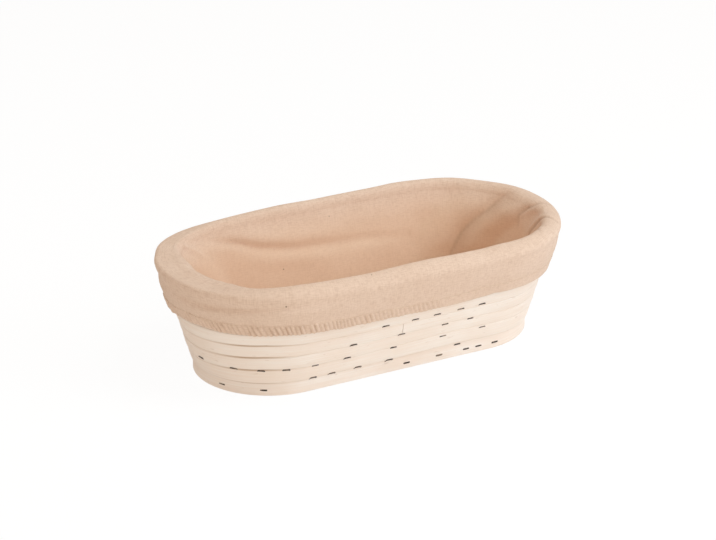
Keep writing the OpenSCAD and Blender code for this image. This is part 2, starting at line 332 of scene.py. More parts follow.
basket = {
    "straight": 0.137,      # between the centres of the round ends
    "endRadius": 0.04545,   # to the middle of the corner turn
    "pitch": 0.0101,        # turn to turn
    "caneRadius": 0.0047,
    "floorZ": 0.00376,
    "coreY": 0.00505,
    "lean": math.radians(16.5),
    "bow": 0.002,           # of each long side at the rim
    "cornerTurn": 4,        # the turn at the corner of floor and wall, from the middle
    "wallTurns": 7,
    "swingTurns": 3,
    "corners": [0, 12, 18, 30, 36],   # steps of a turn: right end, back, left end, front
}
halfLength = basket["straight"] / 2
pitch, caneZ = basket["pitch"], basket["floorZ"]
wallRise = pitch * math.cos(basket["lean"])
wallFacing = math.pi / 2 - basket["lean"]
wallFoot = np.array([0, caneZ])
rimUp = basket["wallTurns"] * pitch   # up the wall to the rim's cane
backStart, backEnd, turnSteps = (basket["corners"][k] for k in (1, 2, 4))
lastClimb = (basket["cornerTurn"] + basket["wallTurns"]) * turnSteps + backStart


def ramp(value, low, high):
    # 0 at low, 1 at high, straight between them
    return np.clip((value - low) / (high - low), 0, 1)


def ease(share):
    return share * share * (3 - 2 * share)


def runLength(points):
    # distance along a line of points
    return np.concatenate([[0], np.cumsum(np.linalg.norm(np.diff(points, axis=0), axis=1))])


def swung(angle, flat, up):
    # vectors that go so far out at an angle, and so far up
    return np.stack(np.broadcast_arrays(flat * np.cos(angle), flat * np.sin(angle), up), -1)


def loopSpot(step):
    k = np.asarray(step, float) % turnSteps
    ends = [halfLength, halfLength, -halfLength, -halfLength, halfLength]
    centre = np.interp(k, basket["corners"], ends)
    angle = np.interp(k, basket["corners"], [-90, 90, 90, 270, 270])
    return centre, np.radians(angle)


def basketPoint(step, off, z):
    centre, angle = loopSpot(step)
    z = np.asarray(z, float)
    raised = (z - caneZ - wallRise) / ((basket["wallTurns"] - 1) * wallRise)
    swell = basket["bow"] * np.clip(raised, 0, 1) * (1 - (centre / halfLength) ** 2)
    x = centre + (basket["endRadius"] + off) * np.cos(angle)
    y = (basket["endRadius"] + off + swell) * np.sin(angle)
    return np.stack(np.broadcast_arrays(x, y, z), -1)


def turned(on, out, facing):
    # from a distance on past the turn before, and one out of the face, to off and z
    sine, cosine = math.sin(facing), math.cos(facing)
    return np.array([on * cosine + out * sine, on * sine - out * cosine])


upWall, outWall = turned(1, 0, wallFacing), turned(0, 1, wallFacing)


def wallSpot(s, n):
    return turned(s, n, wallFacing) + wallFoot


def climbAt(step):
    return ease(ramp(step % turnSteps, backStart, backEnd))


def levelAt(step):
    return step // turnSteps + climbAt(step) - basket["cornerTurn"]


def facingAt(level):
    return wallFacing * ramp(level, 0, 1)


def levelMiddle(level):
    if level <= 0:
        return np.array([pitch * level, caneZ])
    if level <= 1:
        return levelMiddle(level - 1) + turned(pitch, 0, facingAt(level))
    turn = math.ceil(level) - 1
    swing = levelMiddle(level - turn) - wallFoot
    out = swing @ outWall * max(1 - turn / basket["swingTurns"], 0)
    return wallSpot(turn * pitch + swing @ upWall, out)


# objects and meshes

def keep(obj, body, slot, *nodes):
    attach(obj, body)
    if nodes:
        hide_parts(*nodes)
    return obj


def newObject(name, mesh):
    obj = bpy.data.objects.new(name, mesh)
    bpy.context.scene.collection.objects.link(obj)
    return obj


def newGeometryTree(name, sizes):
    tree = bpy.data.node_groups.new(name, "GeometryNodeTree")
    kinds = {"Geometry": "NodeSocketGeometry", **dict.fromkeys(sizes, "NodeSocketFloat")}
    for label, kind in {**kinds, "finish": "NodeSocketMaterial"}.items():
        tree.interface.new_socket(label, in_out="INPUT", socket_type=kind)
    tree.interface.new_socket("Geometry", in_out="OUTPUT", socket_type="NodeSocketGeometry")
    graph = Graph(tree)
    source = graph.node("NodeGroupInput")
    return graph, source, [source.out(size) for size in sizes]


def closeTree(graph, geometry, source):
    whole = graph.node("GeometryNodeRealizeInstances", {"Geometry": geometry})
    dressed = graph.node("GeometryNodeSetMaterial", {
        "Geometry": whole, "Material": source.out("finish")})
    graph.node("NodeGroupOutput", {0: dressed})
    return graph.tree


def bakeTree(obj, tree, values, finish):
    # runs the tree on the object and puts the plain mesh in its place
    modifier = obj.modifiers.new(tree.name, "NODES")
    modifier.node_group = tree
    values = {**values, "finish": finish}
    for item in tree.interface.items_tree:
        if item.in_out == "INPUT" and item.name in values:
            modifier[item.identifier] = values[item.name]
    depsgraph = bpy.context.evaluated_depsgraph_get()
    made = bpy.data.meshes.new_from_object(
        obj.evaluated_get(depsgraph), preserve_all_data_layers=True, depsgraph=depsgraph)
    obj.modifiers.remove(modifier)
    old = obj.data
    obj.data = made
    bpy.data.meshes.remove(old)
    obj.data.shade_smooth()
    if "sharp" in values:
        obj.data.set_sharp_from_angle(angle=math.radians(values["sharp"]))


def chain(count, closed=False):
    return [(i, (i + 1) % count) for i in range(count if closed else count - 1)]


def storeValue(mesh, label, column):
    column = np.asarray(column, np.float32)
    kind, member = ("FLOAT_VECTOR", "vector") if column.shape[1:] == (3,) else ("FLOAT", "value")
    mesh.attributes.new(label, kind, "POINT").data.foreach_set(member, column.ravel())


def pointMesh(name, points, edges, values):
    # points, each with its named values
    mesh = bpy.data.meshes.new(name)
    mesh.from_pydata([tuple(point) for point in points], edges, [])
    for label, column in values.items():
        storeValue(mesh, label, column)
    return mesh


def ringFaces(points, tube=False):
    # corners of the faces between points [stations, rows], closed round the basket
    count, rows = points.shape[:2]
    index = np.arange(count * rows).reshape(count, rows)
    if tube:
        index = np.concatenate([index, index[:, :1]], axis=1)
    after = np.roll(index, -1, axis=0)
    return np.stack([index[:, :-1], index[:, 1:], after[:, 1:], after[:, :-1]], -1).reshape(-1, 4)


def faceMesh(name, points, faces, finish, uv=None):
    mesh = bpy.data.meshes.new(name)
    mesh.from_pydata(points.reshape(-1, 3).tolist(), [], faces.tolist())
    if uv is not None:
        mesh.uv_layers.new(name="cloth").data.foreach_set("uv", uv.astype(np.float32).ravel())
    mesh.materials.append(finish)
    mesh.shade_smooth()
    return mesh


# wound cane

cane = {
    "width": 0.0088,       # through the wall
    "crown": 0.00035,      # how far the flat faces swell at their middle
    "height": 0.0102,      # along the wall
    "corner": 0.0005,
    "sharp": 48,           # degrees
    "perStep": 4,          # stations in one of a turn's steps
    "coreStations": 60,
    "ends": (14, 158.4, 248.88, 412),   # steps where the three lengths of cane start and end
    "jointGap": 0.0003,
    "leastGirth": 0.12,    # of the tapered tails
    "footHeight": 0.0085,  # of the lowest turn
    "wobble": 0.00016,
    "wobbleLength": 0.035,
    "girthSpread": 0.008,
    "girthLength": 0.05,
    "seed": 11,
    "coreSeed": 70,
    # painted shade in the gaps at steps of a turn: darkest round the left of the front, which faces away
    # from the key light
    "shadePlaces": [0, 12, 18, 25, 26.2, 27, 28, 29, 30, 32],
    "gapShades": [0, 0.3, 0.4, 0.15, 0.5, 0.9, 0.75, 0.25, 0.08, 0],
    "floorShade": 0.6,
    # winding by hand: how far the gap under each turn of the wall strays up from its even place,
    # in millimetres, at the front's left, middle and right
    "strayPlaces": (28, 31.5, 34.5),
    "strays": [(0, 0, 0), (1.3, 1.4, 3.4), (3.2, 1.8, 4.4), (3.4, 1.5, 2.7),
               (3.1, 0.6, 0.7), (1.8, 0.4, 0.3), (0.7, 0.1, 0), (0, 0, 0)],
    "evenPlaces": (5, 24.5),   # from the first of these steps to the second, round the back, none strays
}


def makeCaneTree():
    sizes = ["width", "height", "corner", "crown"]
    graph, source, (width, height, corner, crown) = newGeometryTree("caneSweep", sizes)
    path = graph.node("GeometryNodeMeshToCurve", {"Mesh": source})
    path = graph.facing(path, graph.named("outward"))
    section = graph.roundedBar(width, height, corner, 4)
    section = graph.node("GeometryNodeSubdivideCurve", {"Curve": section, "Cuts": 3})
    spot = graph.node("GeometryNodeInputPosition")
    x, y, z = graph.split(spot)
    level = y / (height * 0.5)
    swell = graph.vector(x / (width * 0.5) * (1 - level * level) * crown, 0.0, 0.0)
    section = graph.move(section, Offset=swell)
    section = graph.node("GeometryNodeStoreNamedAttribute", {
        "Geometry": section, "Name": "ring", "Value": spot}, data_type="FLOAT_VECTOR", domain="POINT")
    swept = graph.sweep(path, section, Scale=graph.named("girth", "FLOAT"))
    # a turn reaches from one stray gap to the next, and the lowest from the table up
    drop = graph.split(graph.named("ring"))[1]
    grown = graph.node("ShaderNodeVectorMath", {
        0: graph.named("taller"), "Scale": -drop}, operation="SCALE")
    swept = graph.move(swept, Offset=grown)
    risen = graph.maths("MAXIMUM", z, 0.0) * graph.named("stretch", "FLOAT")
    return closeTree(graph, graph.move(swept, Position=graph.vector(x, y, risen)), source)


def handShift(step, gap):
    # how far the gap under a turn of the wall is above its even place
    places = cane["evenPlaces"] + cane["strayPlaces"]
    rows = [np.interp(step % turnSteps, places, (0, 0) + stray, period=turnSteps)
            for stray in cane["strays"]]
    return np.interp(gap, range(len(rows)), rows) / millimetres


def caneStation(step):
    # middle, outward face, girth and level of the cane at one step
    level = levelAt(step)
    half = basket["caneRadius"]
    middle, girth = levelMiddle(level), 1.0
    if step < backEnd:
        girth = 1 - pitch * (1 - climbAt(step)) / (2 * half)
        middle = levelMiddle(1 - basket["cornerTurn"]) + np.array([half * (girth - 1), 0])
    elif step > lastClimb:
        under = levelMiddle(level - 1)
        girth = 1 - (under - levelMiddle(basket["wallTurns"] - 1)) @ upWall / (2 * half)
        middle = under + turned(pitch - half * (1 - girth), 0, wallFacing)
    return middle, facingAt(level), max(girth, cane["leastGirth"]), level


def slowNoise(places, spacing, seed):
    # random values a spacing apart, eased between
    random = np.random.default_rng(seed)
    grid = random.uniform(-1, 1, int(max(places) / spacing) + 4)
    k = np.floor(places / spacing).astype(int)
    f = ease(places / spacing - k)
    return grid[k] * (1 - f) + grid[k + 1] * f


def unevenGirth(along, seed):
    return 1 + cane["girthSpread"] * (slowNoise(along, cane["girthLength"], seed) - 0.5)


def sweepCane(name, node, points, values):
    obj = newObject(name, pointMesh(name, points, chain(len(points)), values))
    bakeTree(obj, caneTree, cane, paleCane)
    canes.append(obj)
    return keep(obj, "basket", "cane", node)


def windCane(name, node, first, last, seed):
    steps = np.linspace(first, last, int((last - first) * cane["perStep"]) + 2)
    stations = zip(*[caneStation(float(step)) for step in steps])
    middles, facing, girth, levels = [np.array(column) for column in stations]
    sine, cosine = np.sin(facing), np.cos(facing)
    onWall = levels >= 1
    gaps = list(zip(steps, np.maximum(levels, 0)))
    under = np.array([handShift(step, gap) for step, gap in gaps]) * onWall
    over = np.array([handShift(step, gap + 1) for step, gap in gaps])
    wound = (under + over) / 2 * onWall
    off, z = middles[:, 0] + wound * cosine, middles[:, 1] + wound * sine
    along = runLength(basketPoint(steps, off, z))
    sway = cane["wobble"] * slowNoise(along, cane["wobbleLength"], seed)
    points = basketPoint(steps, off + sway * sine, z - sway * cosine * (facing > 0.6))
    angle = loopSpot(steps)[1]
    # painted shade in the gaps, by place round the turn
    shade = np.interp(steps % turnSteps, cane["shadePlaces"], cane["gapShades"], period=turnSteps)
    paintedGapShade = np.clip(facing / wallFacing, 0, 1) * shade
    growth = (over - under) / pitch * onWall
    return sweepCane(name, node, points, {
        "outward": swung(angle, sine, -cosine),
        "girth": girth * unevenGirth(along, seed + 1),
        "along": along + seed,
        "paintedGapShade": np.maximum(paintedGapShade, cane["floorShade"] * (levels < -0.5)),
        # the last turn has none above it
        "topped": np.clip((cane["ends"][-1] - turnSteps - steps) / 2, 0, 1),
        "taller": swung(angle, cosine, sine) * growth[:, None],
        "stretch": 1 + over / cane["footHeight"] * (levels < 1) * (levels >= 0),
    })


def layCore(side, label):
    x = np.linspace(-halfLength, halfLength, cane["coreStations"])
    ones = np.ones(len(x))
    points = np.stack([x, side * basket["coreY"] * ones, caneZ * ones], -1)
    sweepCane("straightCoreCane" + label, "core_cane_" + label.lower(), points, {
        "outward": np.outer(ones, [0.0, 0.0, -1.0]),
        "girth": unevenGirth(x + halfLength, cane["coreSeed"] + side),
        "along": x + 3 * side,
        "paintedGapShade": cane["floorShade"] * ones,
        "topped": ones,
        "taller": np.zeros((len(x), 3)),
        "stretch": ones,
    })


canes = []
caneTree = makeCaneTree()
gapSteps = cane["jointGap"] / 2 * (backEnd - backStart) / basket["straight"]
start, lowJoint, highJoint, end = cane["ends"]
windCane("woundFloorCane", "floor_cane", start, lowJoint - gapSteps, cane["seed"])
windCane("woundLowerWallCane", "lower_wall_cane", lowJoint + gapSteps, highJoint - gapSteps,
         cane["seed"] + 4)
windCane("woundUpperWallCane", "upper_wall_cane", highJoint + gapSteps, end, cane["seed"] + 8)
layCore(-1, "Front")
layCore(1, "Back")
print("canes wound")


# staples, each in the place of the part's own

staple = {
    "crown": 0.0055,
    "wireWidth": 0.0011,
    "wireThickness": 0.0007,
    "bend": 0.0006,
    "leg": 0.008,
    "cornerLeg": 0.0125,
    "sharp": 40,           # degrees
    "endReach": 0.0002,    # how near a corner is to the end of the legs to count as part of it
    "chord": 15,           # degrees from corner to corner of the part's ends
    "seatReach": 0.0025,   # how far the cane can be from the part's own
    "seatPlaces": (-0.3, 0.0, 0.3),   # along the crown
    "sink": 0.0003,
    "floorSink": 0.0006,
    "hiddenSink": 0.0009,
    "cuffed": 0.045,       # the cuff lies on the staples from this height up
    "seed": 5,
}


def looseSolids(mesh):
    # corners of each loose solid of a mesh
    spots = np.array([vertex.co for vertex in mesh.vertices], float)
    corners, same = np.unique(np.round(spots, 6), axis=0, return_inverse=True)
    faces = [same.ravel()[list(face.vertices)] for face in mesh.polygons]
    owner = np.arange(len(corners))
    while any(np.ptp(owner[face]) for face in faces):
        for face in faces:
            owner[face] = owner[face].min()
    return [corners[owner == first] for first in np.unique(owner)]


def stapleFrames(node):
    # crown's middle, direction of the crown and of the legs, for each staple of a node
    for points in looseSolids(frame["nodes"][node].data):
        middle = points.mean(0)
        legs, crown, _ = np.linalg.svd(points - middle)[2]
        reach = (points - middle) @ legs
        near = staple["endReach"]
        if np.sum(reach > reach.max() - near) < np.sum(reach < reach.min() + near):
            legs, reach = -legs, -reach
        sideways = (points - middle) @ crown
        top = middle + legs * (reach.min() + staple["wireThickness"] / 2)
        yield top + crown * (sideways.max() + sideways.min()) / 2, crown, legs


def onRound(point):
    # the part's ends are chords: out to the round end at the same place
    over = abs(point[0]) - halfLength
    if over <= 0:
        return point
    half = staple["chord"] / 2
    aside = (math.degrees(math.atan2(point[1], over)) + 90) % staple["chord"] - half
    grow = math.cos(math.radians(aside)) / math.cos(math.radians(half))
    return np.array([math.copysign(halfLength + over * grow, point[0]), point[1] * grow, point[2]])


def makeStapleTree():
    sizes = ["crown", "leg", "wireWidth", "wireThickness", "bend"]
    graph, source, (crown, leg, width, thickness, bend) = newGeometryTree("stapleRows", sizes)
    reach, depth = (crown - thickness) * 0.5, -leg
    bends = (-reach, depth), (-reach, 0.0), (reach, 0.0), (reach, depth)
    wire = graph.node("GeometryNodeCurvePrimitiveQuadrilateral", {
        "Point %d" % (k + 1): graph.vector(x, 0.0, z) for k, (x, z) in enumerate(bends)}, mode="POINTS")
    wire = graph.node("GeometryNodeSetSplineCyclic", {"Geometry": wire, "Cyclic": False})
    wire = graph.facing(graph.rounded(wire, bend, 2), (0.0, 1.0, 0.0))
    section = graph.roundedBar(width, thickness, thickness * 0.3, 1)
    bent = graph.sweep(wire, section)
    turn = graph.node("FunctionNodeEulerToRotation", {0: graph.named("turn")})
    points = graph.node("GeometryNodeMeshToPoints", {"Mesh": source})
    return closeTree(graph, graph.place(points, bent, turn), source)


def caneSurface():
    corners, faces = [], []
    for piece in canes:
        first = len(corners)
        corners += [corner.co.copy() for corner in piece.data.vertices]
        faces += [[first + i for i in face.vertices] for face in piece.data.polygons]
    return BVHTree.FromPolygons(corners, faces)


def seated(top, crown, legs, sink):
    # driven in until the crown's middle is level with the cane, or a little deeper
    reach = staple["seatReach"]
    depths = []
    for aside in staple["seatPlaces"]:
        start = top + crown * (staple["crown"] * aside) - legs * reach
        depth = surface.ray_cast(Vector(start), Vector(legs), 2 * reach)[3]
        depths.append(reach if depth is None else depth)
    return top + legs * (min(depths) - reach + sink)


def setStaples(name, nodes, leg, least, spread):
    spots, turns = [], []
    draw = np.random.default_rng(staple["seed"])
    for top, crown, legs in (found for node in nodes for found in stapleFrames(node)):
        hidden = staple["hiddenSink"] * (top[2] > staple["cuffed"])
        sink = least + draw.uniform(0, spread) + hidden
        spots.append(seated(onRound(top), crown, legs, sink))
        axes = np.stack([crown, np.cross(-legs, crown), -legs], 1)
        turns.append(tuple(Matrix(axes.tolist()).to_euler()))
    obj = newObject(name, pointMesh(name, spots, [], {"turn": turns}))
    bakeTree(obj, stapleTree, {**staple, "leg": leg}, dullSteel)
    return keep(obj, "basket", "staple_steel", *nodes)


stapleTree = makeStapleTree()
surface = caneSurface()
setStaples("wallStapleRows", ["wall_staples_%d" % k for k in range(1, 8)],
           staple["leg"], 0.0, staple["sink"])
setStaples("floorStapleRows", ["core_staples", "floor_staples_1", "floor_staples_2"],
           staple["leg"], staple["floorSink"], 0.0)
setStaples("cornerStapleRow", ["floor_staples_3"], staple["cornerLeg"], 0.0, staple["sink"])
print("staples set")


# liner

liner = {
    "wallGap": 0.0058,       # cloth's face inside the wall, from the middle of the canes
    "rollRadius": 0.0066,
    "rimRoom": 0.0004,       # least room to the rim's cane
    "rimPush": 0.003,        # the most that cloth is moved out of it
    "rollSquareness": 2.9,
    "softSquareness": 2.4,   # of the roll's inner side where soft says so
    "rollOut": 0.0007,
    "cuffLength": 0.025,     # from the middle of the rim cane
    "cuffBelly": 0.0007,
    "hemHeight": 0.008,
    "hemOut": 0.0074,
    "hemInner": 0.0052,
    "hemTuck": 0.001,        # the hem's inner edge below its stitches
    "seamIn": 0.016,
    "floorZ": 0.00956,
    "cornerRadius": 0.0097,
    "cornerPoints": 9,
    "wallRows": 24,
    "rollPoints": 21,
    "cuffRows": 14,
    "hemRows": 7,
    "curlPoints": 5,
    "endStations": 340,
    "sideStations": 230,
    "cuffOff": (0.016, 0.06),   # off and z of the line that distances round the basket are taken on
    "ripples": [(0.0006, 0.05, 0.03), (0.0003, 0.018, 0.014)],   # height, lengths round and up
    "rippleFade": 0.01,      # up from the floor seam
    "insideRipple": 1.8,     # times as high inside, up to insideFade below the rim
    "insideFade": 0.02,
    "slack": 0.0012,         # how far the cloth bags off the wall inside
    "slackFade": 0.012,
    "press": 0.0003,         # how softly cloth meets the cane behind it
    "room": [0.0007, 0.0001, 0.0001, 0.0014],   # to that cane, inside, on the rim and on the cuff
    "roomEnds": (0.003, 0.003, 0.002),
    "fine": 0.0003,          # height of small lumps on the rim and along the hem
    "ridgePlace": 0.72,      # share of the way over the rim
    "ridgeWidth": 0.002,
    "ridgeFoot": (0.001, 0.004),   # place and width of the hollow below the ridge
    "ridgeLumps": 0.5,
    "lap": 0.009,            # how far loose cloth reaches in over the left end
    "lapTurn": 1.0,
    "lapFade": 0.02,
    "seed": 5,
    # the rest are places round the basket, then the values there
    "lapShares": ([0.375, 0.415, 0.462, 0.49], [0, 1, 1, 0]),
    "soft": ([0.01, 0.035, 0.3, 0.36], [0, 1, 1, 0]),
    # how much shorter the cuff sits than its length
    "lifts": ([0.39, 0.43, 0.5, 0.545], [0.0, 0.0026, 0.0026, 0.0]),
    # how far the cloth stands up off the rim cane
    "crests": ([0.0, 0.03, 0.06, 0.459, 0.47, 0.491, 0.512, 0.523,
                0.54, 0.57, 0.59, 0.612, 0.634, 0.645, 0.6602],
               [0.001, 0.0012, 0.0, 0.0, 0.0008, 0.0026, 0.0036, 0.0028,
                0.002, 0.002, 0.0032, 0.0026, 0.0018, 0.001, 0.001]),
    # slope of the cloth across the rim, up towards the inside
    "tilts": ([0.0, 0.03, 0.06, 0.11, 0.17, 0.33, 0.37, 0.45, 0.48, 0.52, 0.6602],
              [0.25, 0.1, -0.02, 0.0, 0.3, 0.2, -0.3, -0.5, -0.1, 0.2, 0.25]),
    # height of a ridge along the rim's outer edge
    "ridges": ([0.34, 0.38, 0.47, 0.5], [0.0, 0.001, 0.0012, 0.0]),
}

gather = {
    "ribPitch": 0.0031,
    "ribDepth": 0.0012,
    "puckerDepth": 0.0005,
    "puckerLength": 0.0062,
    "fade": 0.0045,          # height over which puckers die out above the hem
    "slant": 0.4,
    "warp": 0.7,             # how far ribs wander, in pitches
    "least": 0.25,
    "edges": (0.001, 0.0015),   # over which the ribs fade at the top and the foot of the hem
    "overlap": 0.004,        # of the puckers and the hem
    # how drawn the front is, round from the left end; below 0 is left to chance
    "front": ([0.0, 0.07, 0.075, 0.42, 0.44, 0.47, 0.53, 0.58, 0.63, 0.659, 0.6602],
              [0.1, 0.1, -0.5, -0.5, 0.6, 1.0, 0.9, 0.5, 0.15, 0.1, 0.1]),
}

# folds of the cloth: places round the basket and up the cloth from its floor seam, mm,
# then depth and width
linerFolds = [
    {"path": [(430, 102), (454, 101.8), (474, 99.3), (490, 98.1), (510, 96.5), (530, 96)],
     "depth": -1.4, "width": 1.5},
    {"path": [(436, 97), (470, 95), (500, 93.5)], "depth": 1.0, "width": 3.0},
    {"path": [(436, 107), (468, 104.5), (490, 103.5), (535, 102)], "depth": 1.0, "width": 3.4},
    {"path": [(350, 72), (322, 64), (306, 58), (286, 54), (263, 52), (244, 51), (222, 50), (196, 47)],
     "depth": -2.2, "width": 2.2},
    {"path": [(340, 78), (306, 65), (286, 61), (263, 59), (235, 58)], "depth": 1.2, "width": 5.0},
    {"path": [(330, 56), (306, 50), (280, 46), (250, 44)], "depth": 1.1, "width": 5.0},
    {"path": [(378, 86), (374, 78), (364, 70), (352, 62)], "depth": 1.2, "width": 2.6},
    {"path": [(424, 76), (448, 77), (464, 78)], "depth": 1.6, "width": 5.0},
]

# creases between two pulled stretches of cloth, mm: how far each side reaches and stands off,
# how dark the painted shade along the line is, and how wide that painted shade reaches on each side
linerCreases = [
    {"path": [(160, 30), (150, 47), (140, 56), (130, 64), (117, 79)],
     "reach": (34, 40), "rise": (5.5, 3.0), "paintedCreaseShade": 0.6, "shadow": (14, 2.4)},
    {"path": [(352, 30), (366, 48), (384, 66), (392, 80)], "reach": (30, 40), "rise": (1.6, 2.2)},
    {"path": [(99, 68), (92, 75), (86.6, 79), (81, 87)],
     "reach": (11, 14), "rise": (2.2, 1.2), "paintedCreaseShade": 0.8},
    {"path": [(78, 62), (68, 74), (60, 82), (56, 88)],
     "reach": (9, 9), "rise": (1.2, 1.8), "paintedCreaseShade": 1.0},
    {"path": [(52, 66), (44, 76), (34, 83), (29, 88)],
     "reach": (8, 8), "rise": (0.8, 1.0), "paintedCreaseShade": 0.7},
]


creaseForm = {
    "swell": 5.2,                 # brings the crest of a side to about its rise
    "lowFade": (-0.012, 0.008),   # from the lower end of the path
    "highFade": (0.004, -0.012),  # from its upper end
    "shadow": (1.8, 1.8),
}
foldEnds = 0.25   # share of a fold's length over which it grows, and of its depth at the very end


def creasePush(u, v, crease):
    # how far a crease's two sides move the cloth, and how dark the painted shade along its line is
    path = np.array(crease["path"]) / millimetres
    side = (u - np.interp(v, path[:, 1], path[:, 0])) * millimetres
    push = np.zeros(u.shape)
    for sign, reach, rise in zip((-1, 1), crease["reach"], crease["rise"]):
        share = np.clip(side * sign / reach, 0, 1)
        push = push + rise / millimetres * creaseForm["swell"] * share * (1 - share) ** 1.5
    ends = ramp(v - path[0, 1], *creaseForm["lowFade"]) * ramp(v - path[-1, 1], *creaseForm["highFade"])
    shadow = np.where(side < 0, *crease.get("shadow", creaseForm["shadow"]))
    return push * ends, crease.get("paintedCreaseShade", 0.0) * np.exp(-(side / shadow) ** 2) * np.sqrt(ends)


def foldPush(u, v, fold):
    # how far a fold moves the cloth off its face, strongest along the middle of its path
    path = np.array(fold["path"]) / millimetres
    start = runLength(path)
    nearest = np.full(u.shape, np.inf)
    place = np.zeros(u.shape)
    for first, second, done, span in zip(path, path[1:], start, np.diff(start)):
        along = (second - first) / span
        t = np.clip((u - first[0]) * along[0] + (v - first[1]) * along[1], 0, span)
        gap = np.hypot(u - first[0] - t * along[0], v - first[1] - t * along[1])
        place = np.where(gap < nearest, done + t, place)
        nearest = np.minimum(gap, nearest)
    share = place / start[-1]
    ends = foldEnds + (1 - foldEnds) * ease(ramp(np.minimum(share, 1 - share), 0, foldEnds))
    width = fold["width"] / millimetres
    return fold["depth"] / millimetres * np.exp(-(nearest / width) ** 2) * ends


def linerProfile(innerSquareness):
    # points [off, z] of the cloth's visible face, from the floor seam over the rim into the hem
    shape, lean = liner, basket["lean"]
    gap, radius, roll = shape["wallGap"], shape["cornerRadius"], shape["rollRadius"]
    corner = wallSpot(gap * (1 - math.sin(lean)) / math.cos(lean), -gap)
    bend = np.array([corner[0] - radius * math.tan(wallFacing / 2), shape["floorZ"] + radius])
    points = [np.array([-shape["seamIn"], shape["floorZ"]])]
    for share in np.linspace(0, 1, shape["cornerPoints"]):
        a = wallFacing * share - math.pi / 2
        points.append(bend + radius * np.array([math.cos(a), math.sin(a)]))
    foot = (points[-1] - wallFoot) @ upWall
    for share in np.linspace(0, 1, shape["wallRows"] + 2)[1:-1]:
        points.append(wallSpot(rimUp - (rimUp - foot) * (1 - share) ** 1.5, -gap))
    for a in np.linspace(math.pi, 0, shape["rollPoints"]):
        power = 2 / (innerSquareness if math.cos(a) < 0 else shape["rollSquareness"])
        across = math.copysign(abs(math.cos(a)) ** power, math.cos(a))
        up = abs(math.sin(a)) ** power
        points.append(wallSpot(rimUp + roll * up, shape["rollOut"] + roll * across))
    top = shape["rollOut"] + roll
    hemLow = rimUp - shape["cuffLength"]
    hemTop = hemLow + shape["hemHeight"]
    for share in np.linspace(0, 1, shape["cuffRows"] + 1)[1:]:
        belly = shape["cuffBelly"] * math.sin(math.pi * share) ** 1.2
        out = top + (shape["hemOut"] - top) * share + belly
        points.append(wallSpot(rimUp + (hemTop - rimUp) * share, out))
    curl = (shape["hemOut"] - shape["hemInner"]) / 2
    low = hemLow + curl
    for share in np.linspace(0, 1, shape["hemRows"] + 1)[1:]:
        points.append(wallSpot(hemTop + (low - hemTop) * share, shape["hemOut"]))
    for a in np.linspace(0, -math.pi, shape["curlPoints"] + 1)[1:]:
        points.append(wallSpot(low + curl * math.sin(a), shape["hemInner"] + curl * (1 + math.cos(a))))
    points.append(wallSpot(hemTop - shape["hemTuck"], shape["hemInner"]))
    return np.array(points)


def stationSteps(shape):
    right = np.linspace(0, backStart, shape["endStations"], endpoint=False)
    back = np.linspace(backStart, backEnd, shape["sideStations"], endpoint=False)
    return np.concatenate([right, back, right + backEnd, back + backEnd])


def roundBasket(steps):
    # distance round the basket at each step, and the whole way round
    loop = basketPoint(steps, *liner["cuffOff"])
    spans = np.linalg.norm(np.roll(loop, -1, axis=0) - loop, axis=1)
    return np.concatenate([[0], np.cumsum(spans)[:-1]]), spans.sum()


def hemLift(u):
    return np.interp(u, *liner["lifts"])


class Strip:
    # the liner's cloth laid flat: u round the basket, v up from the floor seam
    def __init__(self, steps, profile):
        lengths = runLength(profile)
        places, self.around = roundBasket(steps)
        self.u = np.repeat(places[:, None], len(profile), 1)
        self.v = np.repeat(lengths[None, :], len(steps), 0)
        rows = ("cornerPoints", "wallRows", "rollPoints", "cuffRows", "hemRows")
        marks = np.cumsum([liner[name] for name in rows])
        self.hemRow = marks[3]
        self.rollIn, self.rollOut, self.hemTop, self.hemLow = lengths[marks[1:]]
        self.rolled = np.pi * ramp(self.v, self.rollIn, self.rollOut)
        self.length = lengths[-1]

    def noise(self, number, lengthU, lengthV=None):
        # eased random values on a grid that closes round the basket,
        # alike all the way up where there is no lengthV
        random = np.random.default_rng(liner["seed"] + number)
        columns = max(int(round(self.around / lengthU)), 3)
        grid = random.uniform(-1, 1, (columns, 40))
        a = self.u / self.around * columns
        b = self.v / lengthV if lengthV else self.v * 0
        i, j = np.floor(a).astype(int), np.floor(b).astype(int)
        f, g = ease(a - i), ease(b - j)
        left, right = i % columns, (i + 1) % columns
        low = grid[left, j] * (1 - f) + grid[right, j] * f
        high = grid[left, j + 1] * (1 - f) + grid[right, j + 1] * f
        return low * (1 - g) + high * g


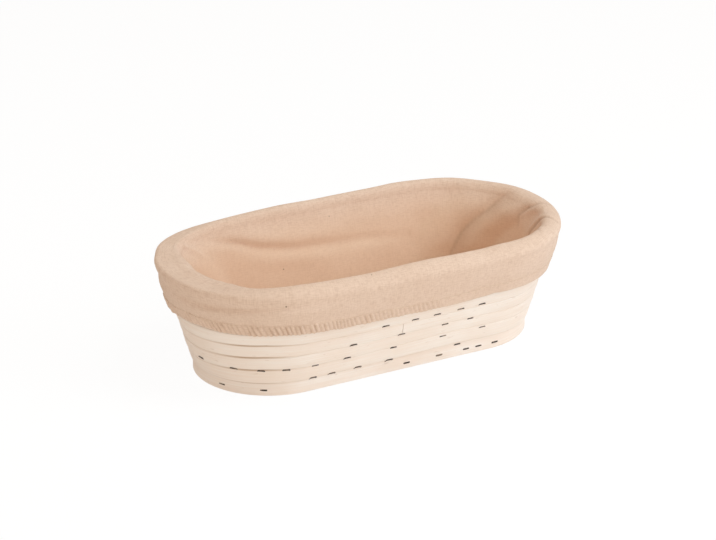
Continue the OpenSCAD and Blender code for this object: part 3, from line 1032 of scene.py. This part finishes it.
def clothPush(strip):
    # how far the cloth lies off its even face, and how dark the painted shade in its creases is
    u, v, rollIn, rollOut = strip.u, strip.v, strip.rollIn, strip.rollOut
    push = sum(height * strip.noise(k, *lengths)
               for k, (height, *lengths) in enumerate(liner["ripples"]))
    stronger = np.interp(v, [rollIn - liner["insideFade"], rollIn], [liner["insideRipple"], 1.0])
    push = push * ramp(v, 0, liner["rippleFade"]) * stronger
    for fold in linerFolds:
        push = push + foldPush(u, v, fold)
    paintedCreaseShade = np.zeros(u.shape)
    for crease in linerCreases:
        moved, line = creasePush(u, v, crease)
        push = push + moved
        paintedCreaseShade = np.maximum(paintedCreaseShade, line)
    fade = liner["slackFade"]
    push = push + liner["slack"] * ramp(v, fade, 2 * fade) * ramp(v, rollIn, rollIn - fade)
    # a lumpy ridge along the rim's outer edge
    ridge = np.interp(u, *liner["ridges"]) * (1 + liner["ridgeLumps"] * strip.noise(9, 0.011))
    crest = rollIn + liner["ridgePlace"] * (rollOut - rollIn)
    foot, width = liner["ridgeFoot"]
    push = push + ridge * np.exp(-((v - crest) / liner["ridgeWidth"]) ** 2)
    push = push - ridge * np.exp(-((v - rollOut - foot) / width) ** 2)
    # the cloth stays off the canes behind it
    over, before, past = liner["roomEnds"]
    room = np.interp(v, [rollIn, rollIn + over, rollOut - before, rollOut + past], liner["room"])
    return np.logaddexp(0, (push + room) / liner["press"]) * liner["press"] - room, paintedCreaseShade


def gathers(strip):
    # what the elastic draws in, ribs on the hem and puckers above it, and the painted shade in the ribs'
    # grooves
    u, v, hemTop, shape = strip.u, strip.v, strip.hemTop, gather
    upper, lower = shape["edges"]
    onHem = ramp(v, hemTop - upper, hemTop + upper) * ramp(v, strip.hemLow + lower, strip.hemLow)
    drawn = shape["least"] + (1 - shape["least"]) * np.clip(0.5 + 0.8 * strip.noise(3, 0.07), 0, 1)
    shown = np.interp(u, *shape["front"])
    drawn = np.where(shown < 0, drawn, shown) * (0.8 + 0.35 * strip.noise(7, 0.004))
    ribs = u / strip.around * np.round(strip.around / shape["ribPitch"])
    ribs = ribs + shape["warp"] * strip.noise(5, 0.016)
    rib = 0.5 + 0.5 * np.cos(2 * np.pi * (ribs - shape["slant"] * (v - hemTop) / shape["ribPitch"]))
    above = np.exp(-np.clip(hemTop - v, 0, 1) / shape["fade"])
    above = above * (v > strip.rollOut) * (v < hemTop + shape["overlap"])
    puckers = strip.noise(4, shape["puckerLength"]) * above * (0.35 + 0.65 * drawn)
    push = shape["ribDepth"] * rib ** 0.7 * onHem * drawn + shape["puckerDepth"] * puckers
    return push, (1 - rib) ** 2 * onHem * drawn


def clothLift(strip):
    # how far the cuff is drawn up, and the cloth stands up on the rim and slopes across it
    u, sine = strip.u, np.sin(strip.rolled)
    slope = np.interp(u, *liner["tilts"]) * liner["rollRadius"]
    crest = np.interp(u, *liner["crests"]) + liner["fine"] * strip.noise(8, 0.02)
    cuff = hemLift(u) * ramp(strip.v, strip.rollOut, strip.hemTop)
    return cuff + crest * sine + slope * np.cos(strip.rolled) * sine ** 0.7


def clothLap(strip):
    # how far loose cloth reaches in over the left end
    inner = ease(np.clip((np.pi / 2 - strip.rolled) / liner["lapTurn"], 0, 1))
    fade = np.exp(-(np.clip(strip.rollIn - strip.v, 0, 1) / liner["lapFade"]) ** 2)
    return liner["lap"] * ease(np.interp(strip.u, *liner["lapShares"])) * inner * fade


def clearOfRim(off, z):
    # moves cloth that is in the rim's cane, or too near it, out to its face
    corner = cane["corner"]
    half = np.array([cane["width"] / 2 + cane["crown"], cane["height"] / 2]) - corner
    spot = np.stack([off, z - caneZ], -1)
    away = np.stack([spot @ outWall, spot @ upWall - rimUp], -1)
    past = np.abs(away) - half
    most = past.max(-1)
    flat = np.stack([past[..., 0] >= past[..., 1], past[..., 0] < past[..., 1]], -1)
    reach = np.where(most[..., None] > 0, np.maximum(past, 0), flat * 1e-9)
    length = np.linalg.norm(reach, axis=-1)
    depth = np.where(most > 0, length, most) - corner
    push = np.clip(liner["rimRoom"] - depth, 0, liner["rimPush"]) / length
    across, up = np.moveaxis(push[..., None] * np.sign(away) * reach, -1, 0)
    return off + across * outWall[0] + up * upWall[0], z + across * outWall[1] + up * upWall[1]


def makeLinerSide():
    profile = linerProfile(liner["rollSquareness"])
    softer = linerProfile(liner["softSquareness"])
    steps = stationSteps(liner)
    strip = Strip(steps, profile)
    tangent = np.gradient(profile, axis=0)
    tangent /= np.linalg.norm(tangent, axis=1)[:, None]
    push, paintedCreaseShade = clothPush(strip)
    drawn, paintedGrooveShade = gathers(strip)
    push = push + drawn
    lift = clothLift(strip)
    hemFoot = strip.hemTop + liner["hemHeight"]
    low = liner["fine"] * strip.noise(6, 0.006) * ramp(strip.v, strip.hemTop, hemFoot)
    base = profile + np.interp(strip.u, *liner["soft"])[..., None] * (softer - profile)
    off = base[..., 0] - push * tangent[:, 1] + lift * upWall[0]
    z = base[..., 1] + push * tangent[:, 0] + low + lift * upWall[1]
    off, z = clearOfRim(off, z)
    points = basketPoint(steps[:, None], off - clothLap(strip), z)
    uv = np.stack([strip.u, strip.v], -1)
    after = np.concatenate([uv[1:], uv[-1:] + (uv[-1:] - uv[-2:-1])])
    corners = np.stack([uv[:, :-1], after[:, :-1], after[:, 1:], uv[:, 1:]], 2)
    mesh = faceMesh("linerSide", points, ringFaces(points)[:, [0, 3, 2, 1]], cottonLining, corners)
    # painted shade in the hem's rib grooves and along the creases
    storeValue(mesh, "paintedShade", np.maximum(paintedGrooveShade, paintedCreaseShade))
    obj = keep(newObject("linerSide", mesh), "liner", "liner_cloth", "liner_side")
    outward = swung(loopSpot(steps)[1], 1, -math.tan(basket["lean"]))
    proud = hemStitch["proud"] * outward
    sewStitches("hemStitches", points[:, strip.hemRow] + proud, outward, hemStitch)
    seam = basketPoint(
        steps, -liner["seamIn"] - seamStitch["inset"], liner["floorZ"] + seamStitch["proud"])
    sewStitches("floorSeamStitches", seam, np.tile([0.0, 0.0, 1.0], (len(steps), 1)), seamStitch)
    print("liner side:", len(mesh.polygons), "faces,", round(strip.around, 4), "m round,",
          round(strip.length, 4), "m of strip")
    return obj, strip.length


hemStitch = {"pitch": 0.0031, "length": 0.0021, "thread": 0.0004, "proud": 0.00012}
seamStitch = {"pitch": 0.0027, "length": 0.002, "thread": 0.0004, "proud": 0.0001, "inset": 0.0015}


def makeStitchTree():
    sizes = ["pitch", "length", "thread"]
    graph, source, (spacing, length, thread) = newGeometryTree("stitchLine", sizes)
    path = graph.node("GeometryNodeMeshToCurve", {"Mesh": source})
    path = graph.node("GeometryNodeResampleCurve", {"Curve": path, "Length": spacing}, mode="LENGTH")
    half = length * 0.5
    loop = graph.node("GeometryNodeCurveQuadraticBezier", {
        "Resolution": 4, "Start": graph.vector(-half, 0.0, thread * -0.6),
        "Middle": graph.vector(0.0, 0.0, thread * 1.2), "End": graph.vector(half, 0.0, thread * -0.6)})
    section = graph.node("GeometryNodeCurvePrimitiveCircle", {"Resolution": 6, "Radius": thread * 0.5})
    stitch = graph.sweep(loop, section)
    turn = graph.node("FunctionNodeAlignRotationToVector", {"Vector": graph.named("outward")}, axis="Z")
    turn = graph.node("FunctionNodeAlignRotationToVector", {
        "Rotation": turn, "Vector": graph.node("GeometryNodeInputTangent")}, axis="X", pivot_axis="Z")
    return closeTree(graph, graph.place(path, stitch, turn), source)


def sewStitches(name, points, outward, stitch):
    obj = newObject(name, pointMesh(name, points, chain(len(points), True), {"outward": outward}))
    bakeTree(obj, stitchTree, stitch, cottonThread)
    return keep(obj, "liner", "liner_cloth")


floorCloth = {"endStations": 72, "sideStations": 48, "rows": 14, "wave": 0.0003, "uvOffset": 0.3}


def makeLinerFloor():
    steps = stationSteps(floorCloth)
    shares = np.linspace(0, 1, floorCloth["rows"])
    centre, angle = (column[:, None] for column in loopSpot(steps))
    reach = (basket["endRadius"] - liner["seamIn"]) * shares
    x, y = centre + reach * np.cos(angle), reach * np.sin(angle)
    waves = np.sin(x * 95 + 1) * np.cos(y * 120) * (1 - shares ** 4)
    points = np.stack([x, y, liner["floorZ"] + floorCloth["wave"] * waves], -1)
    faces = ringFaces(points)
    uv = points.reshape(-1, 3)[faces.ravel()][:, :2] + floorCloth["uvOffset"]
    mesh = faceMesh("linerFloor", points, faces, cottonLining, uv)
    work = bmesh.new()
    work.from_mesh(mesh)
    bmesh.ops.remove_doubles(work, verts=work.verts, dist=1e-6)
    work.to_mesh(mesh)
    work.free()
    return keep(newObject("linerFloor", mesh), "liner", "liner_cloth", "liner_floor")


elastic = {
    "endStations": 90,
    "sideStations": 40,
    "up": 0.0011,       # from the hem's lower edge
    "out": 0.0061,      # from the middle of the canes
    # section: up and out
    "section": [(0, -0.0003), (0.0003, -0.0004), (0.0047, -0.0004), (0.005, -0.0003),
                (0.005, 0.0003), (0.0047, 0.0004), (0.0003, 0.0004), (0, 0.0003)],
}


def makeElastic():
    steps = stationSteps(elastic)
    low = rimUp - liner["cuffLength"] + elastic["up"]
    ring = np.array([wallSpot(low + up, elastic["out"] + out) for up, out in elastic["section"]])
    lift = hemLift(roundBasket(steps)[0])[:, None]
    off = ring[:, 0] + lift * upWall[0]
    points = basketPoint(steps[:, None], off, ring[:, 1] + lift * upWall[1])
    mesh = faceMesh("hemElasticBand", points, ringFaces(points, tube=True), elasticWeave)
    return keep(newObject("hemElasticBand", mesh), "liner", "elastic", "hem_elastic")


stitchTree = makeStitchTree()
linerSide, linerStrip = makeLinerSide()
linerFloor = makeLinerFloor()
elasticBand = makeElastic()
print("liner made")


# floor, light and camera

studio = {
    "floorColour": tint(250, 249, 247),
    "floorHalf": 3,
    "floorZ": -0.0002,
    "floorGlow": 1.025,
    "floorGlowShare": 0.9,   # of what is seen, the rest takes shadows
    "ambient": 0.5,
    "ambientColour": (1.0, 0.81, 0.65, 1.0),
    "lampAim": (0, 0, 0.04),
    # place, size, watts and colour of each lamp
    "lamps": {
        "keyLight": ((0.78, -0.68, 0.58), 0.7, 5.2, (0.71, 0.84, 1.0)),
        "fillLight": ((-0.6, -0.95, 0.45), 0.7, 2.4, (0.89, 0.96, 1.0)),
        "topLight": ((0.35, -0.35, 1.1), 0.7, 4.05, (0.83, 0.98, 1.0)),
        "backLight": ((-0.55, 0.4, 0.8), 0.6, 1.1, (0.75, 0.87, 1.0)),
    },
    "azimuth": math.radians(-29.392),
    "elevation": math.radians(23.173),
    "distance": 2.026,
    "target": (0.0, 0.0, 0.035),
    "aimUp": 0.01565,
    "aimRight": -0.00218,
    "lens": 154.2,
    "sensor": 36.0,
}
white = (1, 1, 1, 1)


def seen(graph):
    # 1 for what the camera sees, also in a reflection or through something
    path = graph.node("ShaderNodeLightPath")
    return path.out("Is Camera Ray") + path.out("Is Glossy Ray") + path.out("Is Transmission Ray")


def makeFloor():
    finish = bpy.data.materials.new("paleFloor")
    graph = blankGraph(finish)
    matt = graph.node("ShaderNodeBsdfDiffuse", {"Color": studio["floorColour"]})
    glow = graph.node("ShaderNodeEmission", {"Color": white, "Strength": studio["floorGlow"]})
    share = seen(graph) * studio["floorGlowShare"]
    blend = graph.node("ShaderNodeMixShader", {0: share, 1: matt, 2: glow})
    graph.node("ShaderNodeOutputMaterial", {"Surface": blend})
    half = studio["floorHalf"]
    corners = np.array([(-half, -half, 0), (half, -half, 0), (half, half, 0), (-half, half, 0)])
    floor = newObject("studioFloor", faceMesh("studioFloor", corners, np.array([(0, 1, 2, 3)]), finish))
    floor.location.z = studio["floorZ"]


def makeWorld():
    world = bpy.data.worlds.new("studio")
    bpy.context.scene.world = world
    graph = blankGraph(world)
    soft = graph.node("ShaderNodeBackground", {
        "Color": studio["ambientColour"], "Strength": studio["ambient"]})
    bright = graph.node("ShaderNodeBackground", {"Color": white, "Strength": 1.0})
    blend = graph.node("ShaderNodeMixShader", {0: seen(graph), 1: soft, 2: bright})
    graph.node("ShaderNodeOutputWorld", {"Surface": blend})


def aimAt(obj, place, target):
    obj.location = place
    obj.rotation_euler = (Vector(target) - Vector(place)).to_track_quat("-Z", "Y").to_euler()


def makeLight(name, place, size, watts, colour):
    light = bpy.data.lights.new(name, "AREA")
    light.shape = "DISK"
    light.size = size
    light.energy = watts
    light.color = colour
    aimAt(newObject(name, light), place, studio["lampAim"])


def makeCamera():
    a, e = studio["azimuth"], studio["elevation"]
    back = Vector((math.sin(a) * math.cos(e), -math.cos(a) * math.cos(e), math.sin(e)))
    right = Vector((math.cos(a), math.sin(a), 0))
    target = Vector(studio["target"])
    aim = target + back.cross(right) * studio["aimUp"] + right * studio["aimRight"]
    lens = bpy.data.cameras.new("photoView")
    lens.lens = studio["lens"]
    lens.sensor_width = studio["sensor"]
    camera = newObject("photoView", lens)
    aimAt(camera, target + back * studio["distance"], aim)
    bpy.context.scene.camera = camera


makeFloor()
makeWorld()
makeCamera()
for name, lamp in studio["lamps"].items():
    makeLight(name, *lamp)
bpy.context.scene.view_settings.view_transform = "Standard"
print("studio set")
